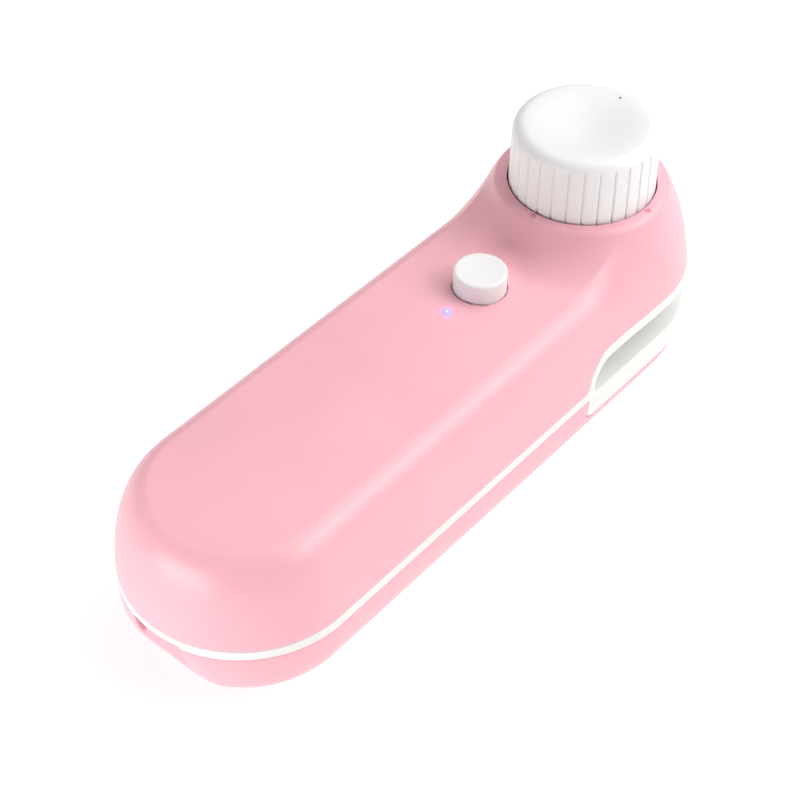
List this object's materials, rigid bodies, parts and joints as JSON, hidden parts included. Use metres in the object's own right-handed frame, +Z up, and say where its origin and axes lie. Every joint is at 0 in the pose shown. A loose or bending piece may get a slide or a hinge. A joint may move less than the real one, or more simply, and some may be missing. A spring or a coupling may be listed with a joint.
{
  "type": "handheld bag heat sealer",
  "caption": "Palm-size rechargeable bag sealer with an open mouth at one end; a thumb-pressed ribbed knob lowers a heated bar onto a padded lower jaw.",
  "frame": {"origin": "centre of the bounding box's footprint, on the flat base", "axes": "+X along the housing towards the knob and mouth end, +Y across the housing, +Z up out of the knob"},
  "size_m": [0.1344, 0.043, 0.0527],
  "materials": {
    "pink_plastic": "satin",
    "white_plastic": "satin",
    "white_knob": "satin",
    "silicone": "matte",
    "plunger_plastic": "satin",
    "brass": "machined",
    "spring_steel": "drawn",
    "screw_steel": "plated",
    "phenolic": "moulded",
    "heater_alloy": "rolled",
    "release_cloth": "coated",
    "black_plastic": "moulded",
    "red_plastic": "gloss",
    "clear_plastic": "frosted",
    "board_laminate": "lacquered",
    "cell_wrap": "shrink wrap",
    "nickel": "plated",
    "foam": "matte",
    "lead_insulation": "gloss"
  },
  "bodies": {
    "housing": {"bottom_shell": "pink_plastic", "mid_frame": "white_plastic", "top_shell": "pink_plastic", "lower_jaw": "white_plastic", "silicone_pad": "silicone", "guide_bush": "brass", "return_spring": "spring_steel", "heater_leads": "lead_insulation", "press_switch": "black_plastic", "switch_button": "red_plastic", "tact_switch": "nickel", "light_pipe": "clear_plastic", "lamp_chip": "clear_plastic", "control_board": "board_laminate", "controller_chip": "black_plastic", "board_screws": "screw_steel", "charge_board": "board_laminate", "usb_c_socket": "nickel", "battery_cell": "cell_wrap", "battery_tabs": "nickel", "battery_pad": "foam", "battery_leads": "lead_insulation", "charge_leads": "lead_insulation", "housing_screws": "screw_steel", "jaw_screws": "screw_steel", "ceiling_screws": "screw_steel"},
    "carriage": {"plunger": "plunger_plastic", "heater_carrier": "phenolic", "carrier_screws": "screw_steel", "heating_strip": "heater_alloy", "heater_terminals": "brass", "release_sheet": "release_cloth"},
    "knob": {"knob_cap": "white_knob", "knob_screw": "screw_steel", "knob_washer": "screw_steel"},
    "button": {"power_button": "white_knob", "tact_plunger": "black_plastic"}
  },
  "joints": [
    {"name": "press", "type": "slide", "parent": "housing", "child": "carriage", "axis": [0, 0, -1], "range_m": [0, 0.006], "stiffness_N_per_m": 500, "springref_m": -0.008, "deforming": ["return_spring", "heater_leads"]},
    {"name": "knob_turn", "type": "hinge", "parent": "carriage", "child": "knob", "pos_m": [0.0457, 0, 0.045], "axis": [0, 0, 1], "range_deg": [0, 90]},
    {"name": "power_press", "type": "slide", "parent": "housing", "child": "button", "axis": [0, 0, -1], "range_m": [0, 0.0005], "stiffness_N_per_m": 1500, "springref_m": -0.0005}
  ]
}
